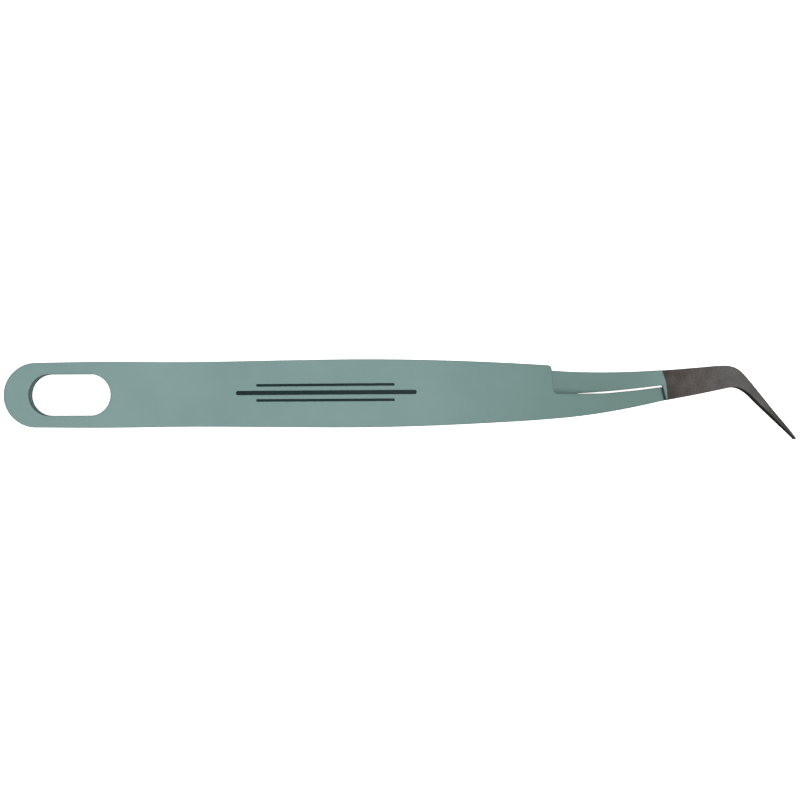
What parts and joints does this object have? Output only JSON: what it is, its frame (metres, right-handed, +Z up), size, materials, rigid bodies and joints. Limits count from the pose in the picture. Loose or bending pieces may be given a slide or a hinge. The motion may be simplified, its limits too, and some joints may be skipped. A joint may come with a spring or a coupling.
{
  "type": "precision tweezers",
  "caption": "Self-closing precision tweezers: two bowed spring arms welded at the tail, crossing before slim bent points that open when the bows are squeezed.",
  "frame": {"origin": "bottom centre of the bounding box at rest; z = 0 touches the underside of the lower bow", "axes": "+X along the tweezers from the tail to the points, +Y across the arms' width, away from the side that the points bend to, +Z up, square to the broad faces, from the lower bow to the upper bow"},
  "size_m": [0.1652, 0.017, 0.0155],
  "materials": {
    "arm_paint": "satin grey-green powder coat on spring stainless steel",
    "bare_steel": "fine tumbled dark stainless steel"
  },
  "bodies": {
    "tail": {"upper_arm_tail": "arm_paint", "lower_arm_tail": "arm_paint"},
    "upper_arm": {"upper_arm_blade": "arm_paint", "upper_arm_tip": "bare_steel"},
    "lower_arm": {"lower_arm_blade": "arm_paint", "lower_arm_tip": "bare_steel"}
  },
  "joints": [
    {"name": "upper_arm_flex", "type": "hinge", "parent": "tail", "child": "upper_arm", "pos_m": [-0.03058, 0.00161, 0.01035], "axis": [0, 1, 0], "range_deg": [0, 1.9], "stiffness_Nm_per_rad": 10, "springref_deg": -0.34},
    {"name": "lower_arm_flex", "type": "hinge", "parent": "tail", "child": "lower_arm", "pos_m": [-0.03058, 0.00161, 0.0052], "axis": [0, -1, 0], "range_deg": [0, 1.9], "stiffness_Nm_per_rad": 10, "springref_deg": -0.34}
  ],
  "couplings": [
    {"joint": "lower_arm_flex", "follows": "upper_arm_flex", "ratio": 1}
  ]
}
